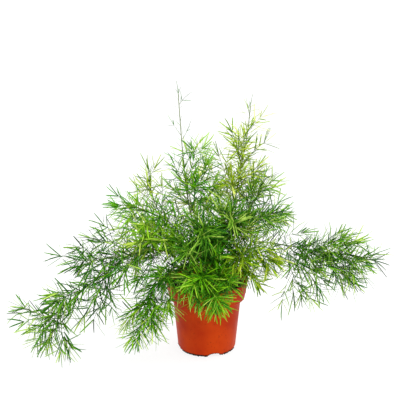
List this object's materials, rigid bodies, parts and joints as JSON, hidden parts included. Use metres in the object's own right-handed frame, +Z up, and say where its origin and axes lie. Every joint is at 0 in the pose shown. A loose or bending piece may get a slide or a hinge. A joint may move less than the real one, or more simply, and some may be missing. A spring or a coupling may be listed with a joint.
{
  "type": "potted asparagus fern",
  "caption": "Potted asparagus fern: arching and upright needled fronds, standing in potting mix in a flared pot with drainage notches at its foot.",
  "frame": {"origin": "centre of the pot's underside, on the surface that the pot stands on", "axes": "+Z up along the pot's axis, +X to the right of the picture, -Y towards the viewer"},
  "size_m": [0.5442, 0.3042, 0.398],
  "materials": {
    "terracotta_plastic": "moulded, satin, terracotta red",
    "potting_mix": "loose, dark brown, matte",
    "deep_green": "satin, dark green",
    "fresh_green": "satin, fresh green",
    "yellow_green": "satin, young yellow-green"
  },
  "bodies": {
    "root": {"pot": "terracotta_plastic", "potting_mix": "potting_mix", "frond_left_long": "deep_green", "frond_left_low": "fresh_green", "frond_left_near": "fresh_green", "frond_left_mid": "fresh_green", "frond_left_high": "yellow_green", "frond_tall_left": "fresh_green", "frond_tall_right": "yellow_green", "frond_right_high": "deep_green", "frond_right_long": "deep_green", "frond_right_rear": "fresh_green", "frond_front": "fresh_green", "frond_front_left": "deep_green", "frond_front_right": "yellow_green", "frond_centre_left": "deep_green", "frond_centre_right": "deep_green", "frond_back_left": "deep_green", "frond_back": "fresh_green", "frond_back_right": "deep_green", "frond_rear_left": "yellow_green", "frond_rear_right": "fresh_green"}
  },
  "joints": []
}
